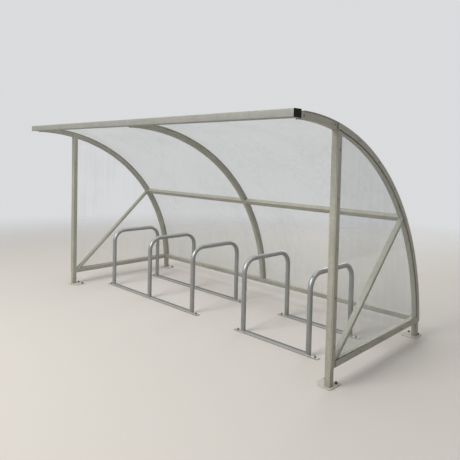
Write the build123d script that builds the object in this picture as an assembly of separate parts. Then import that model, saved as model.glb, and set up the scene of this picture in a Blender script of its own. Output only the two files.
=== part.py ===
from build123d import *

import os
from math import asin, cos, degrees, radians, sin, sqrt

# Cycle shelter: a welded frame of square tube with three curved ribs, clear sheets
# over its roof, back and ends, and two free-standing rows of parking hoops.
# +X runs along the shelter, +Y to its back, +Z is up and the floor is Z = 0.
# It is laid out from the front face of its posts and moved to the middle of its
# footprint when it is written. Lengths are in millimetres, angles in degrees.

# Frame
LENGTH = 4100.0              # over the outer faces of the end frames
TUBE = 50.0                  # square tube of posts, ribs, rails and braces
TUBE_WALL = 3.0
RIB_RADIUS = 1925.0          # inner face of the ribs
RIB_SETBACK = 415.0          # rib centre, in front of the posts
RIB_SPRING = 65.0            # height where a rib leaves its straight foot
RIB_NOSE = 20.0              # straight front end of a rib
RIB_PLATE = 8.0              # plate that closes a rib against the beam
BEAM_DEPTH = 80.0
BEAM_HEIGHT = 60.0
BEAM_WALL = 3.0
BEAM_RISE = 17.0             # top of the beam above the ribs
BOTTOM_RAIL_HEIGHT = 177.0   # middle of the rails near the floor
MID_RAIL_HEIGHT = 1207.0     # middle of the back rail
BRACE_DEPTH = 30.0           # flat tube, as wide as the others
BRACE_FOOT = 35.0            # brace centre line on the side rail, behind the post

# Feet
PLATE_SIZE = 155.0
PLATE_THICKNESS = 8.0
PLATE_LIP = 25.0             # front plates, in front of the post
REAR_PLATE_LIP = 50.0        # rear plates, in front of the rib foot
PLATE_OUTSIDE = 20.0         # beyond the outer face of the frame
PLATE_CORNER = 12.0
PLATE_ROUND = 75.0           # inner front corner of the front plates
BOLT_HOLE = 14.0
BOLT_EDGE = 28.0             # bolt hole to plate edge

# Beam end caps
CAP_FLANGE = 4.0
CAP_PLUG = 18.0
CAP_WALL = 3.0

# Clear sheets and the strips that hold them
SHEET = 5.0
STRIP = 5.0
STRIP_WIDTH = 45.0
ROOF_STRIP_WIDTH = 50.0
SHEET_GAP = 4.0              # between the two roof sheets
SHEET_FRONT_GAP = 2.0        # roof sheets to the beam

# Parking racks
HOOP_TUBE = 48.3
HOOP_SIDES = 12              # flats that stand for the round of the tube
HOOP_HEIGHT = 745.0
HOOP_WIDTH = 685.0           # between leg centres
HOOP_BEND = 140.0            # centre line of the bends
HOOP_PITCH = 800.0
HOOP_FRONT = 385.0           # front legs, behind the posts' front face
LEFT_RACK = -820.0           # middle of the three-hoop rack
RIGHT_RACK = 1170.0          # middle of the two-hoop rack
RACK_RAIL_OVERHANG = 110.0
RACK_RAIL_WIDTH = 50.0
RACK_RAIL_THICKNESS = 6.0    # flat bar on the floor, and the fins on it
RACK_FIN = 24.0              # height of the fins that stiffen it between the legs
RACK_HOLE = 14.0
RACK_HOLE_INSET = 40.0

FIT = 0.3                    # gap at curved seats, plugged ends and the fins' ends

# Derived places
HALF = LENGTH / 2
RIB_OUTER = RIB_RADIUS + TUBE
RIB_Y = -RIB_SETBACK
SHEET_OUTER = RIB_OUTER + SHEET
BEAM_BACK = RIB_Y - RIB_NOSE - RIB_PLATE
BEAM_TOP = RIB_SPRING + RIB_OUTER + BEAM_RISE
RAIL_BOTTOM = BOTTOM_RAIL_HEIGHT - TUBE / 2
RAIL_TOP = BOTTOM_RAIL_HEIGHT + TUBE / 2
BOTTOM_RAIL_ANGLE = degrees(asin((BOTTOM_RAIL_HEIGHT - RIB_SPRING) / (RIB_RADIUS + TUBE / 2)))
MID_RAIL_ANGLE = degrees(asin((MID_RAIL_HEIGHT - RIB_SPRING) / (RIB_RADIUS + TUBE / 2)))
SHEET_START = BOTTOM_RAIL_ANGLE - degrees(TUBE / 2 / (RIB_RADIUS + TUBE / 2))
REAR_PLATE = RIB_Y + RIB_RADIUS - REAR_PLATE_LIP
FOOTPRINT_MIDDLE = (BEAM_BACK - BEAM_DEPTH + REAR_PLATE + PLATE_SIZE) / 2
SIDES = {"left": -1, "right": 1}


def rib_point(radius, angle):
    """Y and Z of a point at a radius and angle about the ribs' centre."""
    return RIB_Y + radius * cos(radians(angle)), RIB_SPRING + radius * sin(radians(angle))


def block(x, y, z):
    """Box between pairs of X, Y and Z bounds, in any order."""
    size = [abs(b - a) for a, b in (x, y, z)]
    centre = [(a + b) / 2 for a, b in (x, y, z)]
    return Pos(*centre) * Box(*size)


def arc_band(inner, outer, x0, x1, start=0.0, end=90.0):
    """Curved bar between two radii and two X planes, over a span of angles."""
    section = Plane.XY * Pos((x0 + x1) / 2, (inner + outer) / 2) * Rectangle(abs(x1 - x0), outer - inner)
    bar = revolve(section, Axis.X, end - start)
    return Pos(0, RIB_Y, RIB_SPRING) * Rot(start, 0, 0) * bar


def inside_ribs():
    """Everything within the inner face of the ribs, less the seat gap."""
    reach = RIB_RADIUS - FIT
    return Pos(0, RIB_Y, RIB_SPRING) * Rot(0, 90, 0) * Cylinder(reach, 2 * LENGTH)


def tube_bar(length, depth=TUBE):
    """Tube along X, centred on the origin, square unless a depth is given."""
    return Box(length, TUBE, depth) - Box(length, TUBE - 2 * TUBE_WALL, depth - 2 * TUBE_WALL)


def along_rib(angle):
    """Place where a flat tube lies under the roof sheets, with Y along the radius."""
    reach = sqrt(RIB_OUTER**2 - TUBE**2 / 4) - TUBE / 2 - FIT
    y, z = rib_point(reach, angle)
    return Pos(0, y, z) * Rot(angle, 0, 0)


def frame_x(side):
    """Inner and outer X plane of one end frame."""
    return side * (HALF - TUBE), side * HALF


def rib(x0, x1, start, foot):
    """Curved square tube from its foot or start angle to its straight nose."""

    def bar(inset):
        """Rib outline, set in by the wall for the hollow."""
        inner, outer = RIB_RADIUS + inset, RIB_OUTER - inset
        low, high = min(x0, x1) + inset, max(x0, x1) - inset
        curve = arc_band(inner, outer, low, high, start)
        nose = block((low, high), (RIB_Y, RIB_Y - RIB_NOSE), (RIB_SPRING + inner, RIB_SPRING + outer))
        pieces = curve + nose
        if foot:
            pieces += block((low, high), (RIB_Y + inner, RIB_Y + outer), (PLATE_THICKNESS, RIB_SPRING))
        return pieces

    return bar(0) - bar(TUBE_WALL)


def end_rib(side):
    """Rib of an end frame, standing on its own base plate."""
    x0, x1 = frame_x(side)
    return rib(x0, x1, 0.0, True)


def middle_rib():
    """Rib between the bays, which ends at the back bottom rail."""
    return rib(-TUBE / 2, TUBE / 2, SHEET_START, False)


def rib_plate(x):
    """Plate between a rib's nose and the back of the beam."""
    heights = (RIB_SPRING + RIB_RADIUS, RIB_SPRING + RIB_OUTER)
    return block((x - TUBE / 2, x + TUBE / 2), (BEAM_BACK, BEAM_BACK + RIB_PLATE), heights)


def beam_section(inset):
    """Beam outline in the YZ plane, set in by its wall or by a plug's fit."""
    return Rectangle(BEAM_DEPTH - 2 * inset, BEAM_HEIGHT - 2 * inset)


def beam_bar(x0, x1, inset=0.0):
    """Length of the beam's outline between two X planes."""
    centre = (BEAM_BACK - BEAM_DEPTH / 2, BEAM_TOP - BEAM_HEIGHT / 2)
    section = Plane.YZ.offset(min(x0, x1)) * Pos(*centre) * beam_section(inset)
    return extrude(section, abs(x1 - x0))


def front_beam():
    """Hollow beam along the front edge of the roof."""
    end = HALF - CAP_FLANGE
    return beam_bar(-end, end) - beam_bar(-end, end, BEAM_WALL)


def beam_cap(side):
    """Plastic cap: a flange over the beam's end and a hollow plug inside it."""
    seat = side * (HALF - CAP_FLANGE)
    flange = fillet(beam_bar(seat, side * HALF).edges().filter_by(Axis.X), CAP_FLANGE)
    plug = beam_bar(seat, seat - side * CAP_PLUG, BEAM_WALL + FIT)
    hollow = beam_bar(seat, seat - side * CAP_PLUG, BEAM_WALL + FIT + CAP_WALL)
    return flange + (plug - hollow)


def back_rail(side, angle):
    """Rail between an end rib and the middle rib, square to the curve."""
    length = HALF - TUBE * 1.5
    middle = side * (TUBE / 2 + length / 2)
    return Pos(middle, 0, 0) * along_rib(angle) * tube_bar(length)


def post(side):
    """Front post, cut to the underside of the rib."""
    x0, x1 = frame_x(side)
    top = RIB_SPRING + RIB_RADIUS
    tube = block((x0, x1), (0, TUBE), (PLATE_THICKNESS, top))
    wall = TUBE_WALL * side
    tube -= block((x0 + wall, x1 - wall), (TUBE_WALL, TUBE - TUBE_WALL), (PLATE_THICKNESS, top))
    return tube & inside_ribs()


def side_rail(side):
    """Rail near the floor, from the post to the rib's foot."""
    x0, x1 = frame_x(side)
    tube = Pos((x0 + x1) / 2, TUBE + HALF / 2, BOTTOM_RAIL_HEIGHT) * Rot(0, 0, 90) * tube_bar(HALF)
    return tube & inside_ribs()


def brace(side):
    """Diagonal from the foot of the post to the rib at the mid rail."""
    x0, x1 = frame_x(side)
    low = Vector((x0 + x1) / 2, TUBE + BRACE_FOOT, RAIL_TOP)
    high = Vector((x0 + x1) / 2, *rib_point(RIB_RADIUS, MID_RAIL_ANGLE))
    run = high - low
    lean = degrees(asin(run.Z / run.length))
    tube = Rot(lean, 0, 0) * Rot(0, 0, 90) * tube_bar(run.length + 4 * TUBE, BRACE_DEPTH)
    tube = Pos(*((low + high) * 0.5)) * tube
    bay = block((x0, x1), (TUBE, RIB_Y + RIB_OUTER), (RAIL_TOP, RIB_SPRING + RIB_OUTER))
    return tube & bay & inside_ribs()


def plate_x(side):
    """Inner and outer X edge of the plates of one end frame."""
    outer = HALF + PLATE_OUTSIDE
    return side * (outer - PLATE_SIZE), side * outer


def base_plate(side, front):
    """Square foot plate with cut corners and two anchor holes behind the tube."""
    inner, outer = plate_x(side)
    plate = block((inner, outer), (front, front + PLATE_SIZE), (0, PLATE_THICKNESS))
    plate = chamfer(plate.edges().filter_by(Axis.Z), PLATE_CORNER)
    for x in (inner + side * BOLT_EDGE, outer - side * BOLT_EDGE):
        hole = Cylinder(BOLT_HOLE / 2, PLATE_THICKNESS)
        plate -= Pos(x, front + PLATE_SIZE - BOLT_EDGE, PLATE_THICKNESS / 2) * hole
    return plate


def front_plate(side):
    """Foot plate of a post, with its inner front corner rounded off."""
    inner, _ = plate_x(side)
    centre = (inner + side * PLATE_ROUND, PLATE_ROUND - PLATE_LIP)
    corner = block((inner, centre[0]), (-PLATE_LIP, centre[1]), (0, PLATE_THICKNESS))
    corner -= Pos(*centre, PLATE_THICKNESS / 2) * Cylinder(PLATE_ROUND, PLATE_THICKNESS)
    return base_plate(side, -PLATE_LIP) - corner


def roof_sheet(side):
    """Clear sheet of one bay, from the back bottom rail over to the beam."""
    x0, x1 = side * SHEET_GAP / 2, side * HALF
    curve = arc_band(RIB_OUTER, SHEET_OUTER, x0, x1, SHEET_START)
    front = BEAM_BACK + SHEET_FRONT_GAP
    flat = block((x0, x1), (RIB_Y, front), (RIB_SPRING + RIB_OUTER, RIB_SPRING + SHEET_OUTER))
    return curve + flat


def end_outline(front, bottom, radius):
    """Face in the YZ plane between a front line, a bottom line and the rib's curve."""
    top = RIB_SPRING + sqrt(radius**2 - (front - RIB_Y) ** 2)
    back = RIB_Y + sqrt(radius**2 - (bottom - RIB_SPRING) ** 2)
    half = (degrees(asin((top - RIB_SPRING) / radius)) + degrees(asin((bottom - RIB_SPRING) / radius))) / 2
    corner, crown, heel = (front, bottom), (front, top), (back, bottom)
    edges = Line(corner, heel) + ThreePointArc(heel, rib_point(radius, half), crown) + Line(crown, corner)
    return make_face(edges)


def end_layer(side, face, depth, thickness):
    """Layer on the outside of an end frame, at a depth outside its tubes."""
    near = HALF + depth
    start = near if side > 0 else -near - thickness
    return extrude(Plane.YZ.offset(start) * face, thickness)


def side_panel(side):
    """Clear sheet of an end frame."""
    return end_layer(side, end_outline(0, RAIL_BOTTOM, RIB_OUTER), 0, SHEET)


def strip_frame():
    """Outline of the strips round a side panel."""
    inner = end_outline(TUBE, RAIL_TOP, RIB_OUTER - STRIP_WIDTH)
    return end_outline(0, RAIL_BOTTOM, RIB_OUTER) - inner


def side_strip(side, face):
    """Part of the strip frame that one face keeps."""
    return end_layer(side, strip_frame() & face, SHEET, STRIP)


def strip_zones():
    """Faces that divide the strip frame into rib, post and rail strips."""
    reach = 2 * RIB_OUTER
    curve = Pos(RIB_Y, RIB_SPRING) * Circle(RIB_OUTER - STRIP_WIDTH)
    rib_zone = Pos(0, 0) * Rectangle(2 * reach, 2 * reach) - curve
    rail_zone = Pos(0, RAIL_TOP - reach / 2) * Rectangle(2 * reach, reach) & curve
    post_zone = Pos(0, RAIL_TOP + reach / 2) * Rectangle(2 * reach, reach) & curve
    return {"rib": rib_zone, "rail": rail_zone, "post": post_zone}


def roof_strip(middle):
    """Strip over the sheets along one rib, outside the roof."""
    x0, x1 = middle - ROOF_STRIP_WIDTH / 2, middle + ROOF_STRIP_WIDTH / 2
    return arc_band(SHEET_OUTER, SHEET_OUTER + STRIP, x0, x1, SHEET_START)


def hoop(x):
    """Parking hoop: one bent tube with both legs on the rack's rails."""
    back = HOOP_FRONT + HOOP_WIDTH
    top = HOOP_HEIGHT - HOOP_TUBE / 2
    foot = RACK_RAIL_THICKNESS
    corners = [(x, HOOP_FRONT, foot), (x, HOOP_FRONT, top), (x, back, top), (x, back, foot)]
    path = FilletPolyline(*corners, radius=HOOP_BEND)
    section = RegularPolygon(HOOP_TUBE / 2, HOOP_SIDES, major_radius=False, rotation=180 / HOOP_SIDES)
    return sweep(Plane(corners[0], x_dir=(1, 0, 0), z_dir=(0, 0, 1)) * section, path=path)


def rack_rail(xs, y):
    """Flat bar that carries the legs of one rack, with an upright fin from leg to leg."""
    x0, x1 = min(xs) - RACK_RAIL_OVERHANG, max(xs) + RACK_RAIL_OVERHANG
    half, thick = RACK_RAIL_WIDTH / 2, RACK_RAIL_THICKNESS
    rail = block((x0, x1), (y - half, y + half), (0, thick))
    for x in (x0 + RACK_HOLE_INSET, x1 - RACK_HOLE_INSET):
        rail -= Pos(x, y, thick / 2) * Cylinder(RACK_HOLE / 2, thick)
    reach = HOOP_TUBE / 2 + FIT
    for near, far in zip(xs, xs[1:]):
        rail += block((near + reach, far - reach), (y - thick / 2, y + thick / 2), (thick, thick + RACK_FIN))
    return rail


def frame_parts():
    """Tubes, plates and caps of the frame, by node name."""
    parts = {"middle_rib": middle_rib(), "front_beam": front_beam(), "middle_rib_plate": rib_plate(0)}
    for name, side in SIDES.items():
        parts[f"{name}_post"] = post(side)
        parts[f"{name}_rib"] = end_rib(side)
        parts[f"{name}_rib_plate"] = rib_plate(side * (HALF - TUBE / 2))
        parts[f"{name}_beam_cap"] = beam_cap(side)
        parts[f"mid_rail_{name}"] = back_rail(side, MID_RAIL_ANGLE)
        parts[f"back_bottom_rail_{name}"] = back_rail(side, BOTTOM_RAIL_ANGLE)
        parts[f"{name}_side_rail"] = side_rail(side)
        parts[f"{name}_brace"] = brace(side)
        parts[f"{name}_front_plate"] = front_plate(side)
        parts[f"{name}_back_plate"] = base_plate(side, REAR_PLATE)
    return parts


def cladding_parts():
    """Clear sheets and their strips, by node name."""
    parts = {"middle_roof_strip": roof_strip(0)}
    zones = strip_zones()
    for name, side in SIDES.items():
        parts[f"roof_sheet_{name}"] = roof_sheet(side)
        parts[f"{name}_side_panel"] = side_panel(side)
        parts[f"{name}_roof_strip"] = roof_strip(side * (HALF - ROOF_STRIP_WIDTH / 2))
        for zone, face in zones.items():
            parts[f"{name}_{zone}_strip"] = side_strip(side, face)
    return parts


def rack_parts():
    """Hoops and floor rails of both racks, by node name."""
    three = [LEFT_RACK + HOOP_PITCH * k for k in (-1, 0, 1)]
    two = [RIGHT_RACK + HOOP_PITCH * k for k in (-0.5, 0.5)]
    parts = {}
    for number, x in enumerate(three + two, start=1):
        parts[f"hoop_{number}"] = hoop(x)
    for name, xs in (("left", three), ("right", two)):
        parts[f"{name}_rack_front_rail"] = rack_rail(xs, HOOP_FRONT)
        parts[f"{name}_rack_back_rail"] = rack_rail(xs, HOOP_FRONT + HOOP_WIDTH)
    return parts


def main():
    """Build every piece and write it about the middle of the footprint."""
    os.makedirs("parts", exist_ok=True)
    move = Pos(0, -FOOTPRINT_MIDDLE, 0)
    for group in (frame_parts(), cladding_parts(), rack_parts()):
        for name, shape in group.items():
            export_step(move * shape, f"parts/{name}.step")


main()
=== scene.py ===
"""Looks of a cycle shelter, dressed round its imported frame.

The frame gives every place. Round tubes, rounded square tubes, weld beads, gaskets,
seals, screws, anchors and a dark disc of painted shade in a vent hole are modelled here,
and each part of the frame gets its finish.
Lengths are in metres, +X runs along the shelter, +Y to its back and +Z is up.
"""

import logging
import math
from collections.abc import Iterable, Mapping, Sequence
from dataclasses import dataclass, field
from enum import Enum
from typing import Any, Optional, Union

import bmesh
import bpy
from mathutils import Matrix, Vector


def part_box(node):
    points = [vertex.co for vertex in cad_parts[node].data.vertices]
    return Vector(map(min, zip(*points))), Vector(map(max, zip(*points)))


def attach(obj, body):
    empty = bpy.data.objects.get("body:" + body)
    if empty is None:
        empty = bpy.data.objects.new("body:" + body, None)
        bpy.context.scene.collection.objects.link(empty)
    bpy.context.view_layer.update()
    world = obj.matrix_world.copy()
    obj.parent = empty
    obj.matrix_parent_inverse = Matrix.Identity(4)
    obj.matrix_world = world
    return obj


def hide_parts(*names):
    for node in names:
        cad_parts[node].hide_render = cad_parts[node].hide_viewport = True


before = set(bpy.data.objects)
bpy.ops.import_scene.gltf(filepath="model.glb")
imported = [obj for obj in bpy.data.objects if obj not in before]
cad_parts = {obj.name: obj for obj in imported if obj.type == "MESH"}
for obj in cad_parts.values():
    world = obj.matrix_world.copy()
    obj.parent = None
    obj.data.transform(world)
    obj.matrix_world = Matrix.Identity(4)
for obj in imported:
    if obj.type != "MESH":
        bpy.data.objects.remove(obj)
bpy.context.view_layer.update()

LOG = logging.getLogger("shelter")
BODY = "root"
SEAT = "seat"
ALONG = Vector((1, 0, 0))
BACKWARD = Vector((0, 1, 0))
UPWARD = Vector((0, 0, 1))
SHARP_ANGLE = math.radians(40)
NOISE_MIDDLE = 0.5
# Sockets that share a name with others of their node go by their numbers.
MIX_FIRST, MIX_SECOND, MIX_RESULT = 6, 7, 2
RANDOM_MAXIMUM, RANDOM_RESULT = 3, 1
Colour = tuple[float, float, float]
Band = tuple[float, float]
Line = list[Vector]
Seat = tuple[Vector, Vector]
Value = Union["Field", float]
Shade = Union["Field", Colour]
Inputs = Mapping[Union[int, str], Any]


class Slot(Enum):
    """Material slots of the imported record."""

    STEEL = "frame_steel"
    ZINC = "rack_steel"
    PLASTIC = "cap_plastic"


class Side(Enum):
    """The two ends of the shelter, with the sign of their X."""

    LEFT = -1
    RIGHT = 1

    @property
    def word(self) -> str:
        """Return the side's name as the frame's nodes spell it."""
        return self.name.lower()

    @property
    def outward(self) -> Vector:
        """Return the direction that the end faces."""
        return Vector((self.value, 0, 0))


class Field:
    """A value that varies over a piece: one node output, with arithmetic on it."""

    def __init__(self, graph: "Graph", socket: bpy.types.NodeSocket) -> None:
        """Keep the output socket and the graph that new nodes go into."""
        self.graph = graph
        self.socket = socket

    def math(self, operation: str, *operands: Value) -> "Field":
        """Return the result of one Math node on its operands in order."""
        return self.graph.read("ShaderNodeMath", 0, dict(enumerate(operands)), operation=operation)

    def __add__(self, other: Value) -> "Field":
        """Return self + other."""
        return self.math("ADD", self, other)

    def __radd__(self, other: Value) -> "Field":
        """Return other + self."""
        return self.math("ADD", other, self)

    def __sub__(self, other: Value) -> "Field":
        """Return self - other."""
        return self.math("SUBTRACT", self, other)

    def __rsub__(self, other: Value) -> "Field":
        """Return other - self."""
        return self.math("SUBTRACT", other, self)

    def __mul__(self, other: Value) -> "Field":
        """Return self * other."""
        return self.math("MULTIPLY", self, other)

    def __rmul__(self, other: Value) -> "Field":
        """Return other * self."""
        return self.math("MULTIPLY", other, self)

    def __truediv__(self, other: Value) -> "Field":
        """Return self / other."""
        return self.math("DIVIDE", self, other)

    def __rtruediv__(self, other: Value) -> "Field":
        """Return other / self."""
        return self.math("DIVIDE", other, self)

    def sine(self) -> "Field":
        """Return the sine of the value, in radians."""
        return self.math("SINE", self)

    def largest(self, other: Value) -> "Field":
        """Return the larger of two values at each place."""
        return self.math("MAXIMUM", self, other)

    def clamp(self) -> "Field":
        """Return the value held between 0 and 1."""
        return self.math("MINIMUM", self.largest(0.0), 1.0)

    def swing(self, share: float) -> "Field":
        """Return how far a pattern stands above or below its middle, times a share."""
        return (self - NOISE_MIDDLE) * share


class Graph:
    """Nodes of one tree, all made by the same method."""

    def __init__(self, tree: bpy.types.NodeTree) -> None:
        """Keep the tree that the nodes go into."""
        self.tree = tree

    def node(self, kind: str, values: Optional[Inputs] = None, **settings: Any) -> bpy.types.Node:
        """Add a node, apply its settings and then fill its inputs.

        Args:
            kind: Blender's type name of the node.
            values: Constants or fields by the input's name or index.
            settings: The node's own properties.

        Returns:
            The new node.
        """
        node = self.tree.nodes.new(kind)
        for name, setting in settings.items():
            setattr(node, name, setting)
        for key, value in (values or {}).items():
            if isinstance(value, Field):
                self.tree.links.new(value.socket, node.inputs[key])
            else:
                node.inputs[key].default_value = value
        return node

    def read(
        self, kind: str, output: Union[int, str], values: Optional[Inputs] = None, **settings: Any
    ) -> Field:
        """Add a node as node() does, and return its output of that name or index."""
        return Field(self, self.node(kind, values, **settings).outputs[output])


@dataclass(frozen=True)
class Pattern:
    """Soft noise of one size.

    Attributes:
        scale: Patches to the metre.
        detail: Layers of finer noise.
        stretch: Factors on X, Y and Z. A small one draws the patches out that way.
    """

    scale: float
    detail: float
    stretch: tuple[float, float, float] = (1, 1, 1)


class Surface(Graph):
    """Shader graph of one material, on the object's own coordinates."""

    def __init__(self, name: str) -> None:
        """Make an empty material.

        Args:
            name: Name of the material.
        """
        self.material = bpy.data.materials.new(name)
        self.material.use_nodes = True
        super().__init__(self.material.node_tree)
        self.tree.nodes.clear()
        self.where = self.read("ShaderNodeTexCoord", "Object")
        place = self.node("ShaderNodeSeparateXYZ", {0: self.where})
        self.back = Field(self, place.outputs["Y"])
        self.height = Field(self, place.outputs["Z"])

    def mix(self, factor: Value, first: Shade, second: Shade) -> Field:
        """Blend two colours, from the first at factor 0 to the second at 1."""
        values = {0: factor, MIX_FIRST: rgba(first), MIX_SECOND: rgba(second)}
        return self.read("ShaderNodeMix", MIX_RESULT, values, data_type="RGBA")

    def span(self, value: Value, low: float, high: float) -> Field:
        """Rise smoothly from 0 where the value is low to 1 where it is high."""
        values = {"Value": value, "From Min": low, "From Max": high}
        return self.read("ShaderNodeMapRange", 0, values, interpolation_type="SMOOTHSTEP")

    def stretched(self, stretch: Sequence[float]) -> Field:
        """Return the object's coordinates, each multiplied by its own factor."""
        values = {0: self.where, 1: tuple(stretch)}
        return self.read("ShaderNodeVectorMath", 0, values, operation="MULTIPLY")

    def noise(self, pattern: Pattern) -> Field:
        """Return a pattern's soft noise."""
        where = self.stretched(pattern.stretch)
        return self.read(
            "ShaderNodeTexNoise", 0, {"Vector": where, "Scale": pattern.scale, "Detail": pattern.detail}
        )

    def crystals(self, size: float) -> Field:
        """Return a random value for each flat crystal of that size."""
        cells = self.read("ShaderNodeTexVoronoi", "Color", {"Vector": self.where, "Scale": 1 / size})
        return self.read("ShaderNodeSeparateColor", 0, {0: cells})

    def relief(self, height: Field, strength: float, depth: float) -> Field:
        """Return the normal of a relief whose height, from 0 to 1, stands for a real depth."""
        values = {"Height": height, "Strength": strength, "Distance": depth}
        return self.read("ShaderNodeBump", 0, values)

    def close(self, values: Inputs) -> bpy.types.Material:
        """End the graph in one principled shader.

        Args:
            values: Inputs of that shader.

        Returns:
            The finished material.
        """
        shader = self.read("ShaderNodeBsdfPrincipled", 0, values)
        self.node("ShaderNodeOutputMaterial", {0: shader})
        return self.material


def rgba(colour: Shade) -> Union[Field, tuple[float, float, float, float]]:
    """Return a colour with full alpha, and a field as it is."""
    return colour if isinstance(colour, Field) else (*colour, 1.0)


@dataclass(frozen=True)
class ZincFinish:
    """Galvanised or mill metal: crystals, clouds, streaks, and grime near the floor, with a painted band of
    light and shade there where asked.

    A share says how strongly something shows. A band holds the two values between
    which it sets in.

    Attributes:
        crystal: Size of one zinc crystal.
        shine_spread: How far the clouds change the roughness.
        crystal_shine: How far the crystals change it.
        dirt_dullness: How much dirt adds to it.
        highlight_height: Height up to which a painted highlight lightens the metal, or 0 for none.
        highlight_band: Shares of that height between which the painted highlight ends.
        painted_shade_share: How much painted shade darkens the metal above the painted highlight.
        shadow_band: Heights between which the painted contact shadow at the floor ends.
    """

    name: str
    dark: Colour
    light: Colour
    crystal: float = 0.014
    crystal_share: float = 0.25
    cloud_share: float = 0.7
    streak_share: float = 0.5
    patch_share: float = 0.35
    metallic: float = 0.25
    roughness: float = 0.52
    shine_spread: float = 0.22
    crystal_shine: float = 0.08
    dirt_dullness: float = 0.35
    grime: Colour = (0.27, 0.255, 0.21)
    grime_height: float = 0.16
    grime_share: float = 0.50
    grime_band: Band = (0.30, 0.62)
    spot_band: Band = (0.60, 0.74)
    spot_share: float = 0.35
    painted_highlight: Colour = (0.62, 0.63, 0.61)
    highlight_height: float = 0.0
    highlight_band: Band = (0.85, 1.10)
    highlight_share: float = 0.7
    painted_shade_share: float = 0.0
    painted_shadow: Colour = (0.09, 0.08, 0.065)
    shadow_band: Band = (0.0035, 0.0055)
    shadow_share: float = 0.8
    relief_strength: float = 0.25
    relief_depth: float = 0.0006
    clouds: Pattern = Pattern(5.0, 6.0)
    patches: Pattern = Pattern(38.0, 3.0)
    streaks: Pattern = Pattern(1.0, 5.0, (46, 46, 2.2))
    spots: Pattern = Pattern(17.0, 6.0)
    grain: Pattern = Pattern(420.0, 2.0)

    def make(self) -> bpy.types.Material:
        """Build the material.

        Returns:
            The finished material.
        """
        surface = Surface(self.name)
        crystals = surface.crystals(self.crystal)
        clouds = surface.noise(self.clouds)
        patches = surface.noise(self.patches)
        streaks = surface.noise(self.streaks)
        tone = NOISE_MIDDLE + crystals.swing(self.crystal_share) + clouds.swing(self.cloud_share)
        tone = tone + streaks.swing(self.streak_share) + patches.swing(self.patch_share)
        dirt = self.dirt(surface, patches)
        base = surface.mix(tone.clamp(), self.dark, self.light)
        base = surface.mix(dirt, base, self.grime)
        # Painted highlight, painted shade and painted contact shadow near the floor.
        if self.highlight_height:
            base = self.painted_light_near_floor(surface, base)
        roughness = self.roughness + clouds.swing(self.shine_spread) + crystals.swing(self.crystal_shine)
        roughness = roughness + dirt * self.dirt_dullness
        height = (surface.noise(self.grain) + patches) / 2
        return surface.close({
            "Base Color": base,
            "Metallic": self.metallic,
            "Roughness": roughness.clamp(),
            "Normal": surface.relief(height, self.relief_strength, self.relief_depth),
        })

    def dirt(self, surface: Surface, patches: Field) -> Field:
        """Return where dirt lies: splashed up from the floor, and in spots.

        Args:
            surface: Graph of the material.
            patches: Noise that breaks up the splashes.

        Returns:
            How much dirt there is, between 0 and 1.
        """
        low = 1.0 - surface.span(surface.height, 0.0, self.grime_height)
        splash = low * surface.span(patches, *self.grime_band)
        spots = surface.span(surface.noise(self.spots), *self.spot_band) * self.spot_share
        return splash.largest(spots) * self.grime_share

    def painted_light_near_floor(self, surface: Surface, base: Field) -> Field:
        """Return the metal's colour with a painted highlight near the floor, painted shade above it and a
        painted contact shadow at the floor.

        Args:
            surface: Graph of the material.
            base: Colour of the metal without them.

        Returns:
            The colour with the painted light and shade.
        """
        # Painted highlight up to its height, painted shade above it and painted contact shadow at the
        # floor.
        edge = surface.span(surface.height, *(self.highlight_height * share for share in self.highlight_band))
        foot = surface.span(surface.height, *self.shadow_band)
        base = surface.mix(edge * self.painted_shade_share, base, self.dark)
        base = surface.mix((1.0 - edge) * self.highlight_share, base, self.painted_highlight)
        return surface.mix((1.0 - foot) * self.shadow_share, base, self.painted_shadow)


@dataclass(frozen=True)
class SheetFinish:
    """Clear plastic sheet with dust, dried runs of rain and a shine at low angles.

    Attributes:
        body: Alpha of the clean sheet, seen straight on.
        edge_on: How much the shine at a low angle adds to it.
        film_band: Noise between which the film of dust sets in.
        low_band: Heights between which the dust from the floor ends.
        dust_cover: How fast the dust's colour takes over from the tint.
        dust_dullness: How much dust adds to the roughness.
        clear_index: Refractive index that gives the shine at low angles.
        gloss_index: Refractive index that gives the sheet's reflections.
    """

    name: str = "clear_plastic_sheet"
    tint: Colour = (0.44, 0.48, 0.47)
    dust: Colour = (0.60, 0.60, 0.58)
    body: float = 0.022
    edge_on: float = 0.20
    roughness: float = 0.09
    dust_share: float = 0.10
    cloud_share: float = 0.6
    run_share: float = 0.4
    film_band: Band = (0.44, 0.68)
    film_share: float = 0.5
    speck_band: Band = (0.62, 0.78)
    speck_share: float = 0.25
    low_band: Band = (0.15, 0.75)
    low_share: float = 0.55
    dust_cover: float = 3.0
    dust_dullness: float = 1.1
    clear_index: float = 1.49
    gloss_index: float = 1.7
    clouds: Pattern = Pattern(1.6, 6.0)
    runs: Pattern = Pattern(1.0, 5.0, (21, 21, 1.3))
    specks: Pattern = Pattern(150.0, 2.0)

    def make(self) -> bpy.types.Material:
        """Build the material.

        Returns:
            The finished material.
        """
        surface = Surface(self.name)
        settled = surface.noise(self.clouds) * self.cloud_share + surface.noise(self.runs) * self.run_share
        film = surface.span(settled, *self.film_band)
        specks = surface.span(surface.noise(self.specks), *self.speck_band)
        low = 1.0 - surface.span(surface.height, *self.low_band)
        dusty = film * self.film_share + specks * self.speck_share + low * self.low_share
        dusty = dusty.clamp() * self.dust_share
        shine = surface.read("ShaderNodeFresnel", 0, {"IOR": self.clear_index})
        return surface.close({
            "Base Color": surface.mix((dusty * self.dust_cover).clamp(), self.tint, self.dust),
            "Roughness": self.roughness + dusty * self.dust_dullness,
            "Alpha": (self.body + dusty + shine * self.edge_on).clamp(),
            "IOR": self.gloss_index,
        })


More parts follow.
